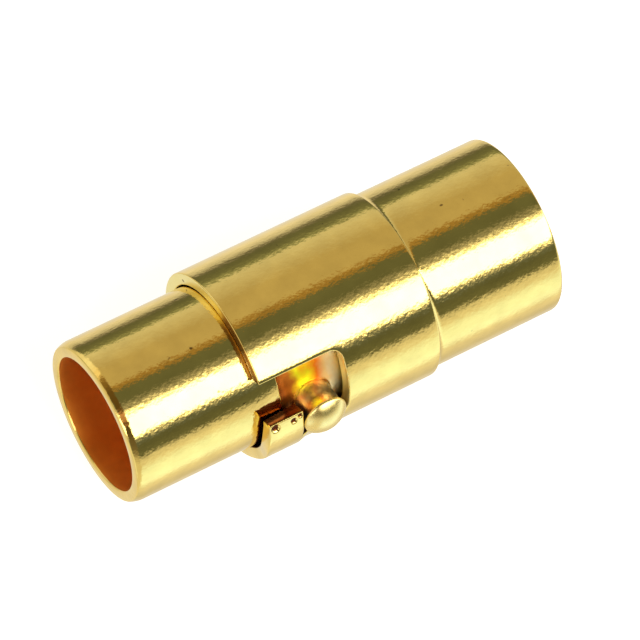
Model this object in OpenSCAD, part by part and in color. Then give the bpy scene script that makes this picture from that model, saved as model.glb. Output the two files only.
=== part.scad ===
// Locking magnetic tube clasp for a round cord, shown closed and locked.
// Millimetres, +Z up. The clasp lies on its side, its axis along X, the cord hole of the pin half at -X.
// Places along the clasp count from the collar's mouth, angles from the locked pin upwards.

/* [Cord] */
// Diameter of the cord holes in both halves
cord_hole_d = 5.0; // [4.6:0.05:5.2]

/* [Pin half] */
// Wall of the tube round its cord hole
tube_wall = 0.5; // [0.4:0.05:0.7]
// Length of the tube outside the collar
tube_out = 4.85; // [4:0.05:7]
// Length over which the tube keeps its full diameter inside the collar
tube_in = 0.83; // [0.6:0.01:1.0]
// Step in radius from the tube down to its nose
nose_step = 0.2; // [0.1:0.01:0.3]
// Metal left between the cord hole's floor and the nose's shoulder
tube_floor = 0.48; // [0.3:0.01:1.5]
// Metal left between the locking pin's hole and the magnet's pocket
nose_web = 0.25; // [0.15:0.01:0.6]

/* [Socket half] */
// Wall of the collar round the tube
collar_wall = 0.45; // [0.4:0.01:0.7]
// Length of the collar
collar_len = 6.9; // [6:0.05:9]
// Wall of the tail tube round its cord hole
tail_wall = 0.8; // [0.5:0.05:0.9]
// Length of the tail tube beyond the collar
tail_len = 5.15; // [4:0.05:7]
// Metal left between the magnet's pocket and the cord hole
tail_floor = 0.75; // [0.7:0.01:1.5]

/* [Bayonet slot] */
// Angle by which the pin turns from its locked place up to the leg, in degrees
twist_deg = 23.5; // [22:0.5:30]
// Length of the tab that holds the pin, from the mouth to the pocket
tab_len = 1.32; // [1.0:0.01:1.6]
// How far the locked pin can run on before it meets the pocket's end
pocket_play = 0.36; // [0.1:0.01:0.6]
// Radius of the slot's corners
slot_corner_r = 0.4; // [0.2:0.05:0.5]

/* [Staked tab] */
// Angle of the middle of the tab's swelling, in degrees
swell_deg = -8; // [-12:1:-4]
// How far the swelling runs to each side, in degrees
swell_half_deg = 42; // [30:1:50]
// How far the tab stands out from the collar
swell_out = 0.15; // [0.05:0.01:0.2]
// How far the tab swells past the mouth
swell_past = 0.2; // [0.1:0.01:0.3]
// Length over which the swelling dies away behind the tab
swell_run = 0.4; // [0.2:0.05:0.8]

/* [Locking pin] */
// Diameter of the pin
pin_d = 1.46; // [1.2:0.01:1.5]
// How far the pin's domed tip stands out from the collar
pin_proud = 0.6; // [0.4:0.05:0.9]
// Depth to which the pin sits in the nose
pin_depth = 1.3; // [0.8:0.05:1.8]
// Radius of the dome on the tip
pin_dome_r = 0.95; // [0.8:0.05:1.5]

/* [Magnets] */
// Diameter of the two magnets
magnet_d = 4.0; // [3:0.1:4.5]
// Thickness of each
magnet_t = 1.5; // [1:0.1:2]

/* [Fits and edges] */
// Running gap between the tube and the collar's bore, on each side
tube_fit = 0.05; // [0.03:0.01:0.09]
// Gap between the nose and the bottom of the collar's bore
nose_fit = 0.1; // [0.05:0.01:0.3]
// Gap between the locked pin and the sides of the pocket that it rests against
pin_fit = 0.06; // [0.04:0.01:0.1]
// Gap between the pin and each side of the leg
leg_fit = 0.085; // [0.06:0.005:0.15]
// Glue gap all round the pin's root and the magnets
glue_gap = 0.02; // [0.01:0.01:0.04]
// Rounding of the tube mouths and of the collar's mouth
rim_edge = 0.1; // [0.05:0.01:0.15]
// Rounding of the shoulders
shoulder_edge = 0.05; // [0.02:0.01:0.08]

/* [Hidden] */
$fn = 96;

gold = [0.84, 0.68, 0.30];
nickel = [0.72, 0.72, 0.70];

// Radii, from the cord outwards
cord_hole_r = cord_hole_d / 2;
tube_r = cord_hole_r + tube_wall;
nose_r = tube_r - nose_step;
bore_r = tube_r + tube_fit;
collar_r = bore_r + collar_wall;
tail_r = cord_hole_r + tail_wall;
pin_r = pin_d / 2;
magnet_pocket_r = magnet_d / 2 + glue_gap;

// Heights of the pin above the clasp's axis
pin_tip = collar_r + pin_proud;
pin_root = nose_r - pin_depth;

// Places along the clasp
pin_x = tab_len + pin_fit + pin_r;
pocket_end = pin_x + pin_r + pocket_play;
nose_pocket_x = pin_x + pin_r + glue_gap + nose_web;
nose_end = nose_pocket_x + glue_gap + magnet_t;
bore_end = nose_end + nose_fit;
socket_pocket_end = bore_end + magnet_t + glue_gap;
tube_hole_end = tube_in - tube_floor;
tail_hole_end = socket_pocket_end + tail_floor;
tail_end = collar_len + tail_len;

// The slot's cutter starts between the bore and the nose and ends outside the collar
cut_past = 1;
cut_low = (bore_r + nose_r) / 2;
cut_high = collar_r + cut_past;

// Straight stretches that make up each round corner of the slot
CORNER_STEPS = 6;

// Dents punched into the tab: place as a share of its length, angle, radius as a share of the collar's wall
DENT_X = 0;
DENT_DEG = 1;
DENT_R = 2;
dents = [[0.17, 5.5, 0.36], [0.73, 4.8, 0.27], [0.9, 6.4, 0.2]];

// The box of the closed clasp stands on the ground with its middle over the origin
clasp_place = [(tube_out - tail_end) / 2, (pin_tip - collar_r) / 2, collar_r];

// Turns an outline of [radius, distance along the clasp] round the clasp's axis
module turned(outline) {
    rotate([0, 90, 0]) rotate_extrude() polygon(outline);
}

// Puts what is drawn on Z at an angle above the locked pin, which points to -Y
module at_angle(deg) {
    rotate([-deg, 0, 0]) rotate([90, 0, 0]) children();
}

// A quarter circle of radius r round a centre, from a start angle upwards
function corner(centre, r, start) = [
    for (i = [0 : CORNER_STEPS])
        let (turn = start + i * 90 / CORNER_STEPS)
            centre + r * [cos(turn), sin(turn)]
];

// A rectangle from one corner to the other with its far corners, those at high x, rounded
function far_rounded(low, high, r) = concat(
    [[low[0], high[1]], low],
    corner([high[0] - r, low[1] + r], r, -90),
    corner([high[0] - r, high[1] - r], r, 0)
);

// Cuts an outline straight through the collar's wall at an angle above the locked pin
module wall_cut(deg, outline) {
    at_angle(deg) translate([0, 0, cut_low]) linear_extrude(cut_high - cut_low) polygon(outline);
}

// The L-shaped slot: the leg runs in from the mouth and the pocket turns down to the locked pin
module bayonet_slot() {
    leg_half = pin_r + leg_fit;
    pocket_top = collar_r * sin(twist_deg);
    wall_cut(twist_deg, far_rounded([-cut_past, -leg_half], [pocket_end, leg_half], slot_corner_r));
    wall_cut(0, far_rounded([tab_len, -pin_r - pin_fit], [pocket_end, pocket_top], slot_corner_r));
}

// The swelling of the staked tab: a round body set off the axis, so that it stands out from the collar
// in a crescent, and rounded off past the mouth
module swollen_tab() {
    out_r = collar_r + swell_out;
    off_axis = swell_out * (collar_r + out_r) / (2 * (out_r - collar_r * cos(swell_half_deg)));
    body_r = out_r - off_axis;
    past_half = collar_r * sin(swell_half_deg / 2);
    past_r = (past_half * past_half + swell_past * swell_past) / (2 * swell_past);
    difference() {
        intersection() {
            at_angle(swell_deg) translate([0, 0, off_axis]) rotate([-90, 0, 0]) turned([
                [0, -swell_past],
                [body_r, -swell_past],
                [body_r, tab_len],
                [body_r - swell_out, tab_len + swell_run],
                [0, tab_len + swell_run]
            ]);
            at_angle(swell_deg) translate([past_r - swell_past, 0, 0]) cylinder(h = cut_high, r = past_r);
        }
        rotate([0, 90, 0]) translate([0, 0, -cut_past]) cylinder(h = bore_end, r = bore_r);
    }
}

module tab_dents() {
    for (dent = dents)
        at_angle(dent[DENT_DEG]) translate([dent[DENT_X] * tab_len, 0, collar_r + swell_out])
            sphere(dent[DENT_R] * collar_wall);
}

module socket_half() {
    color(gold) translate(clasp_place) difference() {
        union() {
            turned([
                [0, socket_pocket_end],
                [magnet_pocket_r, socket_pocket_end],
                [magnet_pocket_r, bore_end],
                [bore_r, bore_end],
                [bore_r, 0],
                [collar_r - rim_edge, 0],
                [collar_r, rim_edge],
                [collar_r, collar_len - shoulder_edge],
                [collar_r - shoulder_edge, collar_len],
                [tail_r, collar_len],
                [tail_r, tail_end - rim_edge],
                [tail_r - rim_edge, tail_end],
                [cord_hole_r + rim_edge, tail_end],
                [cord_hole_r, tail_end - rim_edge],
                [cord_hole_r, tail_hole_end],
                [0, tail_hole_end]
            ]);
            swollen_tab();
        }
        bayonet_slot();
        tab_dents();
    }
}

module pin_half() {
    color(gold) translate(clasp_place) difference() {
        turned([
            [0, tube_hole_end],
            [cord_hole_r, tube_hole_end],
            [cord_hole_r, rim_edge - tube_out],
            [cord_hole_r + rim_edge, -tube_out],
            [tube_r - rim_edge, -tube_out],
            [tube_r, rim_edge - tube_out],
            [tube_r, tube_in - shoulder_edge],
            [tube_r - shoulder_edge, tube_in],
            [nose_r, tube_in],
            [nose_r, nose_end - shoulder_edge],
            [nose_r - shoulder_edge, nose_end],
            [magnet_pocket_r, nose_end],
            [magnet_pocket_r, nose_pocket_x],
            [0, nose_pocket_x]
        ]);
        at_angle(0) translate([pin_x, 0, pin_root - glue_gap]) cylinder(h = cut_high, r = pin_r + glue_gap);
    }
}

module locking_pin() {
    dome_foot = pin_tip - pin_dome_r;
    color(gold) translate(clasp_place) at_angle(0) translate([pin_x, 0, 0]) intersection() {
        translate([0, 0, pin_root]) cylinder(h = pin_tip - pin_root, r = pin_r);
        union() {
            translate([0, 0, dome_foot]) sphere(pin_dome_r);
            cylinder(h = dome_foot, r = pin_dome_r);
        }
    }
}

// A magnet whose near face is at a distance from the collar's mouth
module magnet(near_x) {
    color(nickel) translate(clasp_place) translate([near_x, 0, 0]) rotate([0, 90, 0])
        cylinder(h = magnet_t, d = magnet_d);
}

module nose_magnet() {
    magnet(nose_end - magnet_t);
}

module socket_magnet() {
    magnet(bore_end);
}

socket_half();
pin_half();
locking_pin();
nose_magnet();
socket_magnet();
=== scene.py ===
"""Locking magnetic tube clasp for a round cord, closed and locked, lying on a pale floor."""
import math

import bmesh
import bpy
from mathutils import Euler, Matrix, Vector


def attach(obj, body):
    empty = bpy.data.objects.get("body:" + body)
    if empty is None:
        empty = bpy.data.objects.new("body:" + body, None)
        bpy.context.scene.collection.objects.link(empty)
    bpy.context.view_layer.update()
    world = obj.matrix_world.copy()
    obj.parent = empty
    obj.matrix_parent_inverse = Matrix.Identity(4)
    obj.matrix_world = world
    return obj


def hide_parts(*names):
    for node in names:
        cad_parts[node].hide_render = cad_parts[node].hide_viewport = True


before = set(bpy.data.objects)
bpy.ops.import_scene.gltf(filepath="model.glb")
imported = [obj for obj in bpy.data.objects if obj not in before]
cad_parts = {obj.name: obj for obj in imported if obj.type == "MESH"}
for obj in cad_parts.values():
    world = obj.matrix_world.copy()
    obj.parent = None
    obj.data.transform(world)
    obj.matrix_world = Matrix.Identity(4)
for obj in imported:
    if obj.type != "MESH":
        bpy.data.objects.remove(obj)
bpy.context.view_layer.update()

# The pin half: one turned brass piece, gold plated. Its tube has a blind hole for the cord, and its
# slimmer nose runs in the socket half's collar. Lengths are in millimetres, and places along the clasp
# count from the collar's mouth.

# The clasp's axis at the collar's mouth lies here in the frame, which is in metres
CLASP_PLACE = Matrix.Translation((-0.0036, 0.0003, 0.0035)) @ Matrix.Scale(0.001, 4)

CORD_HOLE_R = 2.5
TUBE_WALL = 0.5
TUBE_R = CORD_HOLE_R + TUBE_WALL
TUBE_START = -4.85
TUBE_STEP = 0.83
TUBE_FLOOR = 0.48
CORD_HOLE_FLOOR = TUBE_STEP - TUBE_FLOOR
NOSE_STEP = 0.2
NOSE_R = TUBE_R - NOSE_STEP
PIN_X = 2.11
PIN_R = 0.73
PIN_ROOT = 1.5
MAGNET_R = 2.0
MAGNET_LEN = 1.5

# The pin and the magnets are glued in with a gap all round, and a web is left between pin and magnet
GLUE_GAP = 0.02
NOSE_WEB = 0.25
MAGNET_POCKET_R = MAGNET_R + GLUE_GAP
NOSE_POCKET_FLOOR = PIN_X + PIN_R + GLUE_GAP + NOSE_WEB
NOSE_END = NOSE_POCKET_FLOOR + GLUE_GAP + MAGNET_LEN

# Straight stretches that a turned piece has round its axis
TURNING_STEPS = 144

# Distance within which two places count as the same
NEAR = 0.01


def turned(corners):
    """Turns a chain of corners round the clasp's axis. Each corner has its place along the clasp, its
    radius, and how long the mesh's rows may be on the stretch that follows it. The last corner has no
    such stretch, and its row isn't used."""
    bm = bmesh.new()
    verts = [bm.verts.new((x, -r, 0)) for x, r, row in corners]
    edges = [bm.edges.new(pair) for pair in zip(verts, verts[1:])]
    for edge, (x, r, row) in zip(edges, corners):
        cuts = math.ceil(edge.calc_length() / row) - 1
        if cuts > 0:
            bmesh.ops.subdivide_edges(bm, edges=[edge], cuts=cuts)
    bmesh.ops.spin(bm, geom=bm.verts[:] + bm.edges[:], cent=(0, 0, 0), axis=(1, 0, 0),
                   angle=2 * math.pi, steps=TURNING_STEPS, use_merge=True)
    bmesh.ops.remove_doubles(bm, verts=bm.verts[:], dist=0.001)
    bmesh.ops.recalc_face_normals(bm, faces=bm.faces[:])
    return bm


def polar(point):
    """Place along the clasp, angle above the locked pin in degrees, and radius."""
    return point.x, math.degrees(math.atan2(point.z, -point.y)), math.hypot(point.y, point.z)


def put(vert, x, deg, r):
    """Puts a vertex at a place along the clasp, an angle above the locked pin and a radius."""
    turn = math.radians(deg)
    vert.co = (x, -r * math.cos(turn), r * math.sin(turn))


def round_rings(bm, rings, width, segments):
    """Rounds the sharp circular edges that lie at the given (place, radius) corners."""
    edges = []
    for edge in bm.edges:
        ends = [polar(v.co) for v in edge.verts]
        if any(all(abs(x - rx) < NEAR and abs(r - rr) < NEAR for x, deg, r in ends) for rx, rr in rings):
            edges.append(edge)
    bmesh.ops.bevel(bm, geom=edges, offset=width, offset_type="OFFSET", affect="EDGES",
                    segments=segments, profile=0.5, material=-1, clamp_overlap=True)


def finished(bm, name, body, materials, node):
    """Takes a mesh in millimetres to its place in the clasp, in metres, and hands it to its body."""
    bmesh.ops.transform(bm, matrix=CLASP_PLACE, verts=bm.verts[:])
    mesh = bpy.data.meshes.new(name)
    bm.to_mesh(mesh)
    bm.free()
    mesh.shade_smooth()
    for material in materials:
        mesh.materials.append(material)
    piece = bpy.data.objects.new(name, mesh)
    bpy.context.scene.collection.objects.link(piece)
    evened = piece.modifiers.new("even_shading", "WEIGHTED_NORMAL")
    evened.weight = 80
    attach(piece, body)
    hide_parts(node)


def colour_ramp(nodes, stops):
    """A colour ramp with a stop for each (position, colour)."""
    ramp = nodes.new("ShaderNodeValToRGB")
    while len(ramp.color_ramp.elements) < len(stops):
        ramp.color_ramp.elements.new(0.5)
    for stop, (position, colour) in zip(ramp.color_ramp.elements, stops):
        stop.position = position
        stop.color = (*colour, 1)
    return ramp


def colour_mix(nodes):
    """A node that mixes two colours, followed by its two colour inputs and its result."""
    mix = nodes.new("ShaderNodeMix")
    mix.data_type = "RGBA"
    return mix, mix.inputs[6], mix.inputs[7], mix.outputs[2]


def gold(name, tones, roughness, grain, along=None):
    """Polished gold plating over turned brass: a fine grain, faint clouds and a few dark specks. The
    tones lie in clouds, or follow each other along one of the clasp's axes between two distances."""
    material = bpy.data.materials.new(name)
    material.use_nodes = True
    nodes, links = material.node_tree.nodes, material.node_tree.links
    shader = nodes["Principled BSDF"]
    shader.inputs["Metallic"].default_value = 1
    place = nodes.new("ShaderNodeTexCoord")

    clouds = nodes.new("ShaderNodeTexNoise")
    clouds.inputs["Scale"].default_value = 1400
    clouds.inputs["Detail"].default_value = 5
    spread = nodes.new("ShaderNodeMapRange")
    spread.inputs["From Min"].default_value = 0.3
    spread.inputs["From Max"].default_value = 0.7
    links.new(place.outputs["Object"], clouds.inputs["Vector"])
    links.new(clouds.outputs["Fac"], spread.inputs["Value"])
    if along:
        axis, start, end = along
        spread.inputs["To Min"].default_value = -0.1
        spread.inputs["To Max"].default_value = 0.1
        split = nodes.new("ShaderNodeSeparateXYZ")
        course = nodes.new("ShaderNodeMapRange")
        for limit, distance in (("From Min", start), ("From Max", end)):
            course.inputs[limit].default_value = (CLASP_PLACE @ Vector([distance] * 3))["XYZ".index(axis)]
        wander = nodes.new("ShaderNodeMath")
        links.new(place.outputs["Object"], split.inputs[0])
        links.new(split.outputs[axis], course.inputs["Value"])
        links.new(course.outputs["Result"], wander.inputs[0])
        links.new(spread.outputs["Result"], wander.inputs[1])
        spread = wander
    shades = colour_ramp(nodes, [(number / (len(tones) - 1), tone) for number, tone in enumerate(tones)])
    links.new(spread.outputs[0], shades.inputs["Fac"])

    specks = nodes.new("ShaderNodeTexNoise")
    specks.inputs["Scale"].default_value = 3200
    specks.inputs["Detail"].default_value = 0
    pits = nodes.new("ShaderNodeMapRange")
    pits.inputs["From Min"].default_value = 0.85
    pits.inputs["From Max"].default_value = 0.89
    stained, clean, stain, speckled = colour_mix(nodes)
    stain.default_value = (0.25, 0.16, 0.05, 1)
    links.new(place.outputs["Object"], specks.inputs["Vector"])
    links.new(specks.outputs["Fac"], pits.inputs["Value"])
    links.new(pits.outputs["Result"], stained.inputs["Factor"])
    links.new(shades.outputs["Color"], clean)
    links.new(speckled, shader.inputs["Base Color"])

    peel = nodes.new("ShaderNodeTexNoise")
    peel.inputs["Scale"].default_value = 6500
    peel.inputs["Detail"].default_value = 3
    bump = nodes.new("ShaderNodeBump")
    bump.inputs["Strength"].default_value = grain
    bump.inputs["Distance"].default_value = 0.00001
    polish = nodes.new("ShaderNodeMapRange")
    polish.inputs["To Min"].default_value = roughness * 0.8
    polish.inputs["To Max"].default_value = roughness * 1.2
    links.new(place.outputs["Object"], peel.inputs["Vector"])
    links.new(peel.outputs["Fac"], bump.inputs["Height"])
    links.new(bump.outputs["Normal"], shader.inputs["Normal"])
    links.new(peel.outputs["Fac"], polish.inputs["Value"])
    links.new(polish.outputs["Result"], shader.inputs["Roughness"])
    return material


# The plating is bright outside, browner in the cord holes where painted shade darkens it, and carries
# painted reflections and shade that change its tone along the nose
gold_plating = gold("gold_plating_polished", [(0.82, 0.60, 0.17), (0.95, 0.70, 0.20)], 0.055, 0.75)
bore_gold_painted_shade = gold("gold_plating_painted_shade_in_bores", [(0.80, 0.31, 0.04), (0.92, 0.37, 0.05)], 0.55, 0.3)
# Painted reflections and shade along the nose: dark brown by the step, yellow then red beside the pin,
# pale by the pocket's end wall
NOSE_PAINTED_REFLECTION_TONES = [(0.42, 0.10, 0.01), (0.62, 0.18, 0.02), (1, 0.85, 0.02), (0.95, 0.20, 0.01),
              (1, 0.60, 0.20), (1, 0.94, 0.60)]
nose_gold_painted_reflections = gold("gold_plating_painted_reflections_on_nose", NOSE_PAINTED_REFLECTION_TONES, 0.42, 0.3, along=("X", 0.8, 3.3))

# The tube rolls off towards its mouth, steeper and steeper
ROLL_LEN = 0.42
ROLL_DEPTH = 0.11
ROLL_STEPS = 7
roll_off = []
for step in range(ROLL_STEPS + 1):
    share = step / ROLL_STEPS
    roll_off.append((TUBE_START + ROLL_LEN * share, TUBE_R - ROLL_DEPTH * (1 - share) ** 2, 1))

# Half the length of the stretch of the nose that has fine rows for the pin's hole
FINE_HALF = 0.86
bm = turned([
    (CORD_HOLE_FLOOR, 0, 0.6),
    (CORD_HOLE_FLOOR, CORD_HOLE_R, 0.3),
    (TUBE_START, CORD_HOLE_R, 1),
    *roll_off,
    (TUBE_STEP, TUBE_R, 0.1),
    (TUBE_STEP, NOSE_R, 0.5),
    (PIN_X - FINE_HALF, NOSE_R, 0.08),
    (PIN_X + FINE_HALF, NOSE_R, 1),
    (NOSE_END, NOSE_R, 0.4),
    (NOSE_END, MAGNET_POCKET_R, 0.6),
    (NOSE_POCKET_FLOOR, MAGNET_POCKET_R, 3),
    (NOSE_POCKET_FLOOR, 0, 3),
])
round_rings(bm, [(TUBE_START, TUBE_R - ROLL_DEPTH)], width=0.03, segments=2)
round_rings(bm, [(TUBE_START, CORD_HOLE_R)], width=0.06, segments=3)
round_rings(bm, [(TUBE_STEP, TUBE_R), (NOSE_END, NOSE_R)], width=0.04, segments=2)

# The nose's blind hole for the locking pin: the wall round it is trimmed to a circle and drawn inwards
HOLE_R = PIN_R + GLUE_GAP
HOLE_FLOOR = PIN_ROOT - GLUE_GAP


def over_hole(face):
    centre = face.calc_center_median()
    return centre.y < 0 and math.hypot(centre.x - PIN_X, centre.z) < HOLE_R


bmesh.ops.delete(bm, geom=[f for f in bm.faces if over_hole(f)], context="FACES")
rim = [e for e in bm.edges if e.is_boundary]
for vert in {v for e in rim for v in e.verts}:
    off = Vector((vert.co.x - PIN_X, vert.co.z)).normalized() * HOLE_R
    vert.co = (PIN_X + off.x, -math.sqrt(NOSE_R ** 2 - off.y ** 2), off.y)
drawn = bmesh.ops.extrude_edge_only(bm, edges=rim)["geom"]
for vert in [g for g in drawn if isinstance(g, bmesh.types.BMVert)]:
    vert.co.y = -HOLE_FLOOR
bmesh.ops.holes_fill(bm, edges=[e for e in bm.edges if e.is_boundary], sides=0)
bmesh.ops.recalc_face_normals(bm, faces=bm.faces[:])

# The browner plating, darkened with painted shade, lines the cord hole from a little behind its mouth
LINING_R = CORD_HOLE_R + 0.02
UNSHADED_MOUTH = 0.1
for face in bm.faces:
    x, deg, r = polar(face.calc_center_median())
    if r < LINING_R and TUBE_START + UNSHADED_MOUTH < x < CORD_HOLE_FLOOR + NEAR:
        face.material_index = 1
    # The nose inside the collar takes the painted reflections and shade
    if r < NOSE_R + NEAR and x > TUBE_STEP + NEAR:
        face.material_index = 2
finished(bm, "pin_body", "plug", [gold_plating, bore_gold_painted_shade, nose_gold_painted_reflections], "pin_half")

# The locking pin: a short brass pin with a domed head, fixed in the nose's side hole and gold plated
# with it. Heights count from the clasp's axis.

PIN_TIP = 4.1
SHANK_ROWS = (2.7, 3.2)
PIN_STEPS = 64

# The head flares out level with the tab's face, and a small rounding leads over to its dome
HEAD_LOW = 3.67
HEAD_R = 0.82
FLARE_LEN = 0.06
RIM_R = 0.12
RIM_STEPS = 6
DOME_R = 1.1
DOME_STEPS = 8

dome_low = PIN_TIP - DOME_R
rim_high = dome_low + math.sqrt((DOME_R - RIM_R) ** 2 - (HEAD_R - RIM_R) ** 2)
rim_turn = math.atan2(rim_high - dome_low, HEAD_R - RIM_R)
profile = [(0, PIN_ROOT), (PIN_R, PIN_ROOT)]
profile += [(PIN_R, height) for height in SHANK_ROWS]
profile += [(PIN_R, HEAD_LOW - FLARE_LEN), (HEAD_R, HEAD_LOW)]
for step in range(RIM_STEPS + 1):
    turn = rim_turn * step / RIM_STEPS
    profile.append((HEAD_R - RIM_R + RIM_R * math.cos(turn), rim_high + RIM_R * math.sin(turn)))
for step in range(1, DOME_STEPS + 1):
    turn = rim_turn + (math.pi / 2 - rim_turn) * step / DOME_STEPS
    profile.append((DOME_R * math.cos(turn), dome_low + DOME_R * math.sin(turn)))

bm = bmesh.new()
verts = [bm.verts.new((PIN_X + r, -height, 0)) for r, height in profile]
for pair in zip(verts, verts[1:]):
    bm.edges.new(pair)
bmesh.ops.spin(bm, geom=bm.verts[:] + bm.edges[:], cent=(PIN_X, 0, 0), axis=(0, 1, 0),
               angle=2 * math.pi, steps=PIN_STEPS, use_merge=True)
bmesh.ops.remove_doubles(bm, verts=bm.verts[:], dist=0.001)
bmesh.ops.recalc_face_normals(bm, faces=bm.faces[:])

# The pin's flank gets a paler tone, painted light
pin_gold = gold("gold_plating_on_pin", [(0.88, 0.66, 0.22), (0.94, 0.73, 0.27)], 0.27, 0.2)
flank_gold_painted_light = gold("gold_plating_painted_light_on_flank", [(1, 0.88, 0.50), (1, 0.93, 0.62)], 0.32, 0.3)
for face in bm.faces:
    if -face.calc_center_median().y < rim_high:
        face.material_index = 1
finished(bm, "pin_peg", "plug", [pin_gold, flank_gold_painted_light], "locking_pin")

# The two magnets: discs with a satin nickel plating. One is glued into the nose's end and the other
# into the bottom of the collar's bore, and both keep the shape that the frame gives them.

magnet_nickel = bpy.data.materials.new("magnet_nickel_satin")
magnet_nickel.use_nodes = True
nodes, links = magnet_nickel.node_tree.nodes, magnet_nickel.node_tree.links
shader = nodes["Principled BSDF"]
shader.inputs["Metallic"].default_value = 1
shader.inputs["Base Color"].default_value = (0.62, 0.61, 0.58, 1)
place = nodes.new("ShaderNodeTexCoord")
grain = nodes.new("ShaderNodeTexNoise")
grain.inputs["Scale"].default_value = 5000
rough = nodes.new("ShaderNodeMapRange")
rough.inputs["To Min"].default_value = 0.25
rough.inputs["To Max"].default_value = 0.4
links.new(place.outputs["Object"], grain.inputs["Vector"])
links.new(grain.outputs["Fac"], rough.inputs["Value"])
links.new(rough.outputs["Result"], shader.inputs["Roughness"])
for node in ("nose_magnet", "socket_magnet"):
    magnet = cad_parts[node]
    magnet.data.materials.clear()
    magnet.data.materials.append(magnet_nickel)

# The socket half: one turned brass piece, gold plated. Its collar has the L-shaped slot milled through
# its wall and a tab staked after assembly, and its tail tube has a blind hole for the cord.

TUBE_FIT = 0.05
BORE_R = TUBE_R + TUBE_FIT
COLLAR_WALL = 0.45
COLLAR_R = BORE_R + COLLAR_WALL
COLLAR_END = 6.9
TAIL_WALL = 0.8
TAIL_R = CORD_HOLE_R + TAIL_WALL
TAIL_LEN = 5.15
TAIL_END = COLLAR_END + TAIL_LEN
NOSE_FIT = 0.1
BORE_END = NOSE_END + NOSE_FIT
SOCKET_POCKET_FLOOR = BORE_END + MAGNET_LEN + GLUE_GAP
TAIL_FLOOR = 0.75
TAIL_HOLE_FLOOR = SOCKET_POCKET_FLOOR + TAIL_FLOOR

# The slot runs close round the pin. Its leg lies where the pin is after its twist, and the tab lies
# between its pocket and the mouth.
PIN_FIT = 0.06
LEG_FIT = 0.085
POCKET_PLAY = 0.36
TAB_LEN = PIN_X - PIN_R - PIN_FIT
POCKET_END = PIN_X + PIN_R + POCKET_PLAY
POCKET_HALF = PIN_R + PIN_FIT
LEG_HALF = PIN_R + LEG_FIT
TWIST_DEG = 23.5
CORNER_R = 0.45
EDGE_R = 0.05

# Columns of the turned wall that become the slot's edges, in degrees, how far round the neighbouring
# columns move with them, and where along the clasp that dies away
POCKET_LOW = -12.5
LEG_LOW = 10.0
LEG_TOP = 37.5
COLUMN_RUN = 15.0
FADE_RUN = 1.2
FADE_END = POCKET_END + FADE_RUN

bm = turned([
    (SOCKET_POCKET_FLOOR, 0, 0.6),
    (SOCKET_POCKET_FLOOR, MAGNET_POCKET_R, 0.5),
    (BORE_END, MAGNET_POCKET_R, 1),
    (BORE_END, BORE_R, 0.3),
    (POCKET_END, BORE_R, 0.1),
    (TAB_LEN, BORE_R, 0.11),
    (0, BORE_R, 1),
    (0, COLLAR_R, 0.11),
    (TAB_LEN, COLLAR_R, 0.1),
    (POCKET_END, COLLAR_R, 0.1),
    (FADE_END, COLLAR_R, 0.25),
    (COLLAR_END, COLLAR_R, 1),
    (COLLAR_END, TAIL_R, 0.25),
    (TAIL_END, TAIL_R, 1),
    (TAIL_END, CORD_HOLE_R, 0.4),
    (TAIL_HOLE_FLOOR, CORD_HOLE_R, 0.6),
    (TAIL_HOLE_FLOOR, 0, 0.6),
])


def slot_edge(base, r):
    """Angle at radius r of the slot's wall that grows from a base column."""
    if base == POCKET_LOW:
        return -math.degrees(math.asin(POCKET_HALF / r))
    side = -1 if base == LEG_LOW else 1
    return TWIST_DEG + side * math.degrees(math.asin(LEG_HALF / r))


def in_slot(face):
    x, deg, r = polar(face.calc_center_median())
    if r < BORE_R - NEAR or x > POCKET_END or not POCKET_LOW < deg < LEG_TOP:
        return False
    return deg > LEG_LOW or x > TAB_LEN


bmesh.ops.delete(bm, geom=[f for f in bm.faces if in_slot(f)], context="FACES")
border = [e for e in bm.edges if e.is_boundary]

# The wall's columns slide round to the slot's exact edges
for vert in bm.verts:
    x, deg, r = polar(vert.co)
    beside_slot = POCKET_LOW - COLUMN_RUN < deg < LEG_TOP + COLUMN_RUN
    if r < BORE_R - NEAR or x > FADE_END or not beside_slot:
        continue
    stops = [(POCKET_LOW - COLUMN_RUN, 0)]
    stops += [(base, slot_edge(base, r) - base) for base in (POCKET_LOW, LEG_LOW, LEG_TOP)]
    stops += [(LEG_TOP + COLUMN_RUN, 0)]
    for (a, shift_a), (b, shift_b) in zip(stops, stops[1:]):
        if a <= deg <= b:
            shift = shift_a + (shift_b - shift_a) * (deg - a) / (b - a)
    fade = min(1, (FADE_END - x) / FADE_RUN)
    put(vert, x, deg + shift * fade, r)

# The far corners of the slot are rounded by the cutter
for vert in {v for e in border for v in e.verts}:
    x, deg, r = polar(vert.co)
    for middle, half, side in ((TWIST_DEG, LEG_HALF, 1), (0, POCKET_HALF, -1)):
        across = side * r * math.sin(math.radians(deg - middle))
        centre_x, centre_across = POCKET_END - CORNER_R, half - CORNER_R
        if x > centre_x and across > centre_across:
            off = Vector((x - centre_x, across - centre_across)).normalized() * CORNER_R
            new_across = centre_across + off.y
            put(vert, centre_x + off.x, middle + side * math.degrees(math.asin(new_across / r)), r)

# The slot's walls
outer = [e for e in border if all(polar(v.co)[2] > COLLAR_R - NEAR for v in e.verts)]
inner = [e for e in border if all(polar(v.co)[2] < BORE_R + NEAR for v in e.verts)]
walls = bmesh.ops.bridge_loops(bm, edges=outer + inner)["faces"]
for wall in walls:
    x, deg, r = polar(wall.calc_center_median())
    # The leg's lower wall beside the tab takes painted shade, and the pocket's end wall the paler painted
    # light
    if x < TAB_LEN + EDGE_R and deg < TWIST_DEG:
        wall.material_index = 2
    if x > POCKET_END - CORNER_R:
        wall.material_index = 3
bmesh.ops.recalc_face_normals(bm, faces=bm.faces[:])

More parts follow.
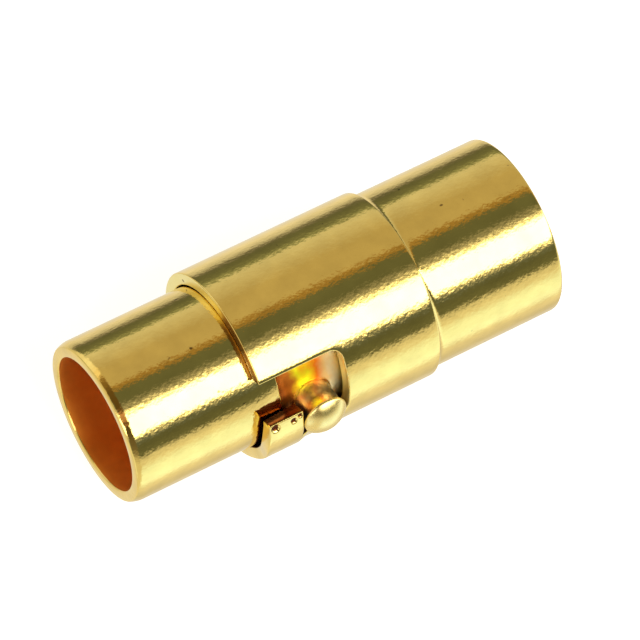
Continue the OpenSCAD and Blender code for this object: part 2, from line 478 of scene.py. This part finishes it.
# Rounded edges: the slot's edges and the collar's mouth, the shoulder and the tail's mouth
SHARP_TURN = 0.9
sharp = {e for e in bm.edges if e.calc_face_angle(0) > SHARP_TURN}
mouth_edges = {e for e in sharp if all(abs(v.co.x) < NEAR for v in e.verts)}
wall_edges = {e for f in walls for e in f.edges if e in sharp}.difference(inner)
bmesh.ops.bevel(bm, geom=list(mouth_edges.union(wall_edges, outer)), offset=EDGE_R, offset_type="OFFSET",
                affect="EDGES", segments=3, profile=0.5, material=-1, clamp_overlap=True)
round_rings(bm, [(COLLAR_END, COLLAR_R)], width=0.06, segments=3)
round_rings(bm, [(TAIL_END, TAIL_R), (TAIL_END, CORD_HOLE_R)], width=0.1, segments=4)

# The staked tab swells out of the round and past the mouth, and its inner edge is lifted off the tube
SWELL_DEG = -8.0
SWELL_HALF = 42.0
SWELL_OUT = 0.15
SWELL_PAST = 0.1
PAST_SHARE = 0.55
SWELL_RUN = 0.4
LIFT = 0.12
LIFT_RUN = 0.8
LIFT_HALF = 30.0


def hump(share):
    """A smooth hump, 1 at its middle and 0 at its foot, where the share is 1."""
    return 0.5 * (1 + math.cos(math.pi * share))


for vert in bm.verts:
    x, deg, r = polar(vert.co)
    off_deg = abs(deg - SWELL_DEG)
    off = off_deg / SWELL_HALF
    if off >= 1 or r < BORE_R - NEAR or x > TAB_LEN + SWELL_RUN:
        continue
    depth = max(0, min(1, (r - BORE_R) / (COLLAR_R - BORE_R)))
    lift = LIFT * (1 - depth) * max(0, 1 - x / LIFT_RUN) * math.sqrt(max(0, 1 - off_deg / LIFT_HALF))
    swell = SWELL_OUT * hump(off) * min(1, (TAB_LEN + SWELL_RUN - x) / SWELL_RUN)
    past = 0
    if x < TAB_LEN and off < PAST_SHARE:
        past = SWELL_PAST * hump(off / PAST_SHARE) * (1 - max(0, x) / TAB_LEN)
    put(vert, x - past, deg, r + swell * depth + lift)

# The plating is browner in the cord hole with painted shade; painted shade darkens the slot's leg and the
# gap under the tab;
# the pocket's end wall is matt and paler with painted light; and painted shade browns the collar's mouth
# towards the front
slot_gold_painted_shade = gold("gold_plating_painted_shade_in_slot", [(0.10, 0.02, 0.01), (0.14, 0.04, 0.01)], 0.35, 0.4)
wall_gold_painted_light = gold("gold_plating_matt_painted_light_on_pocket", [(1, 0.78, 0.30), (1, 0.86, 0.40)], 0.5, 0.4)
MOUTH_SHADE_TONES = [(0.34, 0.18, 0.05), (0.42, 0.24, 0.08), (1, 0.84, 0.25), (1, 0.88, 0.40)]
mouth_gold_painted_shade = gold("gold_plating_painted_shade_at_mouth", MOUTH_SHADE_TONES, 0.35, 0.4, along=("Y", -1.0, 0.3))

# How far round the tab's underside goes and how much its faces look towards the tube, and the part of
# the mouth's ring that is left without painted shade
UNDER_HALF = 40.0
UNDER_TOP = 16.0
TOWARDS_TUBE = 0.3
UNSHADED_FROM = -90.0
MOUTH_OUT = COLLAR_R - 0.02
# The tail's cord hole takes the browner plating with painted shade, and the gap under the lifted tab and
# the mouth's ring outside the unshaded part take painted shade
for face in bm.faces:
    x, deg, r = polar(face.calc_center_median())
    if r < LINING_R and x > TAIL_HOLE_FLOOR - NEAR:
        face.material_index = 1
    at_tab = x < TAB_LEN and abs(deg - SWELL_DEG) < UNDER_HALF and deg < UNDER_TOP
    if at_tab and BORE_R - NEAR < r < BORE_R + LIFT and face.normal.y > TOWARDS_TUBE:
        face.material_index = 2
    if x < EDGE_R and BORE_R - NEAR < r < MOUTH_OUT and not UNSHADED_FROM < deg < LEG_TOP:
        face.material_index = 4

# Three dents, given by place, angle and radius, are punched into the tab beside the leg. The mesh is
# finer there, and the middle of each dent carries painted shade.
DENTS = [(0.2, 6.6, 0.19), (0.92, 6.0, 0.14), (1.18, 7.8, 0.11)]
DENT_DEPTH = 0.6
DARK_SHARE = 0.7
FINE_FROM = -1.0
WALL_MIDDLE = (BORE_R + COLLAR_R) / 2
beside_leg = set()
for face in bm.faces:
    x, deg, r = polar(face.calc_center_median())
    if r > COLLAR_R - NEAR and 0 < x < TAB_LEN and FINE_FROM < deg < LEG_LOW:
        beside_leg.update(face.edges)
bmesh.ops.subdivide_edges(bm, edges=list(beside_leg), cuts=4, use_grid_fill=True)
for dent_x, dent_deg, dent_r in DENTS:
    for vert in bm.verts:
        x, deg, r = polar(vert.co)
        away = math.hypot(x - dent_x, r * math.radians(deg - dent_deg)) / dent_r
        if r > COLLAR_R - NEAR and away < 1:
            put(vert, x, deg, r - DENT_DEPTH * dent_r * (1 - away ** 2))
    for face in bm.faces:
        x, deg, r = polar(face.calc_center_median())
        away = math.hypot(x - dent_x, COLLAR_R * math.radians(deg - dent_deg)) / dent_r
        if r > WALL_MIDDLE and away < DARK_SHARE:
            face.material_index = 2
finished(bm, "socket_body", "socket", [gold_plating, bore_gold_painted_shade, slot_gold_painted_shade, wall_gold_painted_light, mouth_gold_painted_shade],
         "socket_half")

# The studio: a pale matt floor under the clasp, a world of long soft light strips that run along it,
# and the camera.

bpy.ops.mesh.primitive_plane_add(size=0.8)
floor = bpy.context.object
floor.name = "floor"
pale = bpy.data.materials.new("pale_floor")
pale.use_nodes = True
nodes, links = pale.node_tree.nodes, pale.node_tree.links
shader = nodes["Principled BSDF"]
shader.inputs["Base Color"].default_value = (0.6, 0.6, 0.6, 1)
shader.inputs["Roughness"].default_value = 0.9
shader.inputs["Emission Color"].default_value = (1, 1, 1, 1)
shader.inputs["Emission Strength"].default_value = 0.75
floor.data.materials.append(pale)
floor.visible_glossy = False

# The strips by angle, brightness and tint: 0 degrees is the horizon in front of the clasp, 90 straight
# above it and 180 the horizon behind
NEUTRAL = (1, 1, 1)
WARM = (1, 0.86, 0.6)
ORANGE = (1, 0.66, 0.25)
COOL = (0.87, 1.07, 1.3)
CREAM = (1, 0.96, 0.84)
ROSE = (1, 0.55, 0.35)
OLIVE = (1, 1.12, 0.85)
STRIPS = [
    (-180, 0.2, NEUTRAL), (-172, 0.65, NEUTRAL), (-160, 0.9, CREAM), (-110, 0.82, CREAM),
    (-86, 0.72, CREAM), (-66, 0.95, NEUTRAL), (-54, 1.4, COOL), (-34, 1.25, COOL), (-20, 0.9, NEUTRAL),
    (-13, 0.75, NEUTRAL), (-7, 0.16, OLIVE), (6, 0.12, OLIVE), (13, 0.18, COOL), (18, 0.8, NEUTRAL),
    (23, 5.0, NEUTRAL), (47, 5.0, NEUTRAL), (54, 1.2, NEUTRAL), (59, 0.4, NEUTRAL), (68, 0.14, OLIVE),
    (84, 0.15, OLIVE), (86, 0.34, ORANGE), (91, 0.4, ORANGE), (94, 0.56, WARM), (120, 0.55, WARM),
    (152, 0.72, NEUTRAL), (156, 0.32, OLIVE), (162, 0.18, OLIVE), (174, 0.13, OLIVE), (180, 0.2, NEUTRAL)]

# To the left the strips give way to a dimmer set, which the faces that look along the clasp reflect, and
# beyond it a cream sheet closes the left end. Both are placed by the X of the direction: the dimmer set
# is alone up to DIM_HALF from its middle, and is gone at BRIGHT_FROM.
DIM_STRIPS = [
    (-180, 0.7, CREAM), (-100, 0.95, CREAM), (-60, 0.9, CREAM), (-20, 0.8, CREAM), (0, 0.2, WARM),
    (38, 0.1, ORANGE), (44, 0.5, ROSE), (54, 0.7, ROSE), (60, 0.12, ORANGE), (88, 0.14, ORANGE),
    (108, 0.3, ORANGE), (118, 1.0, WARM), (140, 1.1, NEUTRAL), (180, 0.7, CREAM)]
DIM_MIDDLE = -0.33
DIM_HALF = 0.16
BRIGHT_FROM = 0.24
SHEET_START = -0.55
SHEET_FULL = -0.7
SHEET_SHARE = 0.6
SHEET_LEVEL = 0.9

world = bpy.data.worlds.new("studio")
bpy.context.scene.world = world
world.use_nodes = True
nodes, links = world.node_tree.nodes, world.node_tree.links
nodes.clear()
place = nodes.new("ShaderNodeTexCoord")
split = nodes.new("ShaderNodeSeparateXYZ")
front = nodes.new("ShaderNodeMath")
front.operation = "MULTIPLY"
front.inputs[1].default_value = -1
angle = nodes.new("ShaderNodeMath")
angle.operation = "ARCTAN2"
around = nodes.new("ShaderNodeMapRange")
around.inputs["From Min"].default_value = -math.pi
around.inputs["From Max"].default_value = math.pi
from_dim = nodes.new("ShaderNodeMath")
from_dim.inputs[1].default_value = -DIM_MIDDLE
distance = nodes.new("ShaderNodeMath")
distance.operation = "ABSOLUTE"
brightened = nodes.new("ShaderNodeMapRange")
brightened.inputs["From Min"].default_value = DIM_HALF
brightened.inputs["From Max"].default_value = BRIGHT_FROM
sides, dim_side, bright_side, both_sides = colour_mix(nodes)
for strips, side in ((DIM_STRIPS, dim_side), (STRIPS, bright_side)):
    stops = [((deg + 180) / 360, [level * t for t in tint]) for deg, level, tint in strips]
    bands = colour_ramp(nodes, stops)
    links.new(around.outputs["Result"], bands.inputs["Fac"])
    links.new(bands.outputs["Color"], side)
to_left = nodes.new("ShaderNodeMapRange")
to_left.inputs["From Min"].default_value = SHEET_START
to_left.inputs["From Max"].default_value = SHEET_FULL
to_left.inputs["To Max"].default_value = SHEET_SHARE
ends, open_end, sheet, closed = colour_mix(nodes)
sheet.default_value = [SHEET_LEVEL * c for c in CREAM] + [1]
glow = nodes.new("ShaderNodeBackground")
glow.inputs["Strength"].default_value = 1
plain = nodes.new("ShaderNodeBackground")
plain.inputs["Color"].default_value = (1, 1, 1, 1)
plain.inputs["Strength"].default_value = 1
path = nodes.new("ShaderNodeLightPath")
mix = nodes.new("ShaderNodeMixShader")
out = nodes.new("ShaderNodeOutputWorld")
links.new(place.outputs["Generated"], split.inputs[0])
links.new(split.outputs["X"], from_dim.inputs[0])
links.new(from_dim.outputs[0], distance.inputs[0])
links.new(distance.outputs[0], brightened.inputs["Value"])
links.new(brightened.outputs["Result"], sides.inputs["Factor"])
links.new(split.outputs["Y"], front.inputs[0])
links.new(split.outputs["Z"], angle.inputs[0])
links.new(front.outputs[0], angle.inputs[1])
links.new(angle.outputs[0], around.inputs["Value"])
links.new(split.outputs["X"], to_left.inputs["Value"])
links.new(to_left.outputs["Result"], ends.inputs["Factor"])
links.new(both_sides, open_end)
links.new(closed, glow.inputs["Color"])
links.new(path.outputs["Is Camera Ray"], mix.inputs["Fac"])
links.new(glow.outputs[0], mix.inputs[1])
links.new(plain.outputs[0], mix.inputs[2])
links.new(mix.outputs[0], out.inputs["Surface"])

# The camera's place in metres, its turn in degrees and its lens, fitted to the clasp's outline and rims
CAMERA_PLACE = (-0.058286, -0.091943, 0.147109)
CAMERA_TURN = (37.26015, -0.78400, -31.50525)
CAMERA_LENS = 293.435
camera = bpy.data.objects.new("camera", bpy.data.cameras.new("camera"))
camera.location = CAMERA_PLACE
camera.rotation_euler = Euler([math.radians(a) for a in CAMERA_TURN])
camera.data.lens = CAMERA_LENS
camera.data.clip_start = 0.01
camera.data.clip_end = 2
bpy.context.scene.collection.objects.link(camera)
bpy.context.scene.camera = camera
bpy.context.scene.view_settings.view_transform = "Standard"
